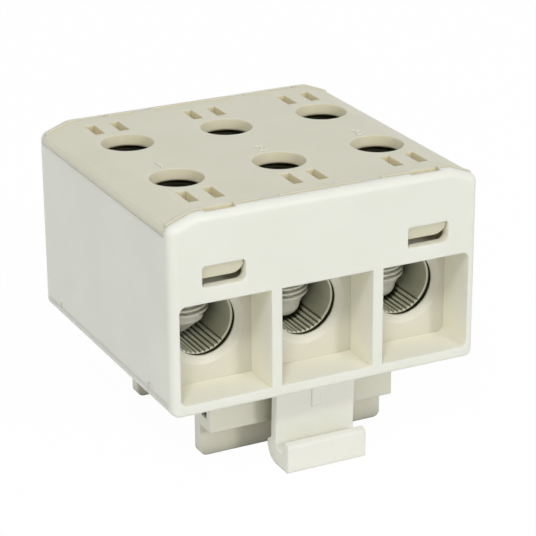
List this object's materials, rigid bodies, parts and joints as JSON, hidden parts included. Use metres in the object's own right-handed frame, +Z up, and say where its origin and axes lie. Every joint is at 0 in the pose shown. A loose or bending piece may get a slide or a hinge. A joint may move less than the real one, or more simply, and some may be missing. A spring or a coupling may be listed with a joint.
{
  "type": "feed-through terminal block",
  "caption": "Boxy light-grey terminal block for a 35 mm rail, with a row of conductor entries front and rear, a clip-fitted lid with screw holes, grooved metal tubes and a sprung rail latch.",
  "frame": {"origin": "centre of the block in plan, on the surface that the foot plates stand on", "axes": "+X along the row of poles, +Y from the front entries with the latch to the rear ones, +Z up to the lid"},
  "size_m": [0.0468, 0.046, 0.0408],
  "materials": {
    "housing_plastic": "satin moulded",
    "lid_plastic": "fine matt moulded",
    "latch_plastic": "satin moulded",
    "tube_metal": "tin plated",
    "screw_steel": "zinc plated",
    "spring_steel": "drawn wire"
  },
  "bodies": {
    "block": {"housing": "housing_plastic", "lid": "lid_plastic", "left_tube": "tube_metal", "middle_tube": "tube_metal", "right_tube": "tube_metal", "latch_spring": "spring_steel"},
    "latch": {"rail_latch": "latch_plastic"},
    "left_front_clamp": {"left_front_screw": "screw_steel"},
    "middle_front_clamp": {"middle_front_screw": "screw_steel"},
    "right_front_clamp": {"right_front_screw": "screw_steel"},
    "left_rear_clamp": {"left_rear_screw": "screw_steel"},
    "middle_rear_clamp": {"middle_rear_screw": "screw_steel"},
    "right_rear_clamp": {"right_rear_screw": "screw_steel"}
  },
  "joints": [
    {"name": "latch_slide", "type": "slide", "parent": "block", "child": "latch", "axis": [0, -1, 0], "range_m": [0, 0.0025], "stiffness_N_per_m": 800, "springref_m": -0.002, "deforming": ["latch_spring"]},
    {"name": "left_front_clamp_travel", "type": "slide", "parent": "block", "child": "left_front_clamp", "axis": [0, 0, 1], "range_m": [-0.00048, 0.0082]},
    {"name": "middle_front_clamp_travel", "type": "slide", "parent": "block", "child": "middle_front_clamp", "axis": [0, 0, 1], "range_m": [0, 0.0087]},
    {"name": "right_front_clamp_travel", "type": "slide", "parent": "block", "child": "right_front_clamp", "axis": [0, 0, 1], "range_m": [0, 0.0087]},
    {"name": "left_rear_clamp_travel", "type": "slide", "parent": "block", "child": "left_rear_clamp", "axis": [0, 0, 1], "range_m": [-0.00048, 0.0082]},
    {"name": "middle_rear_clamp_travel", "type": "slide", "parent": "block", "child": "middle_rear_clamp", "axis": [0, 0, 1], "range_m": [0, 0.0087]},
    {"name": "right_rear_clamp_travel", "type": "slide", "parent": "block", "child": "right_rear_clamp", "axis": [0, 0, 1], "range_m": [0, 0.0087]}
  ]
}
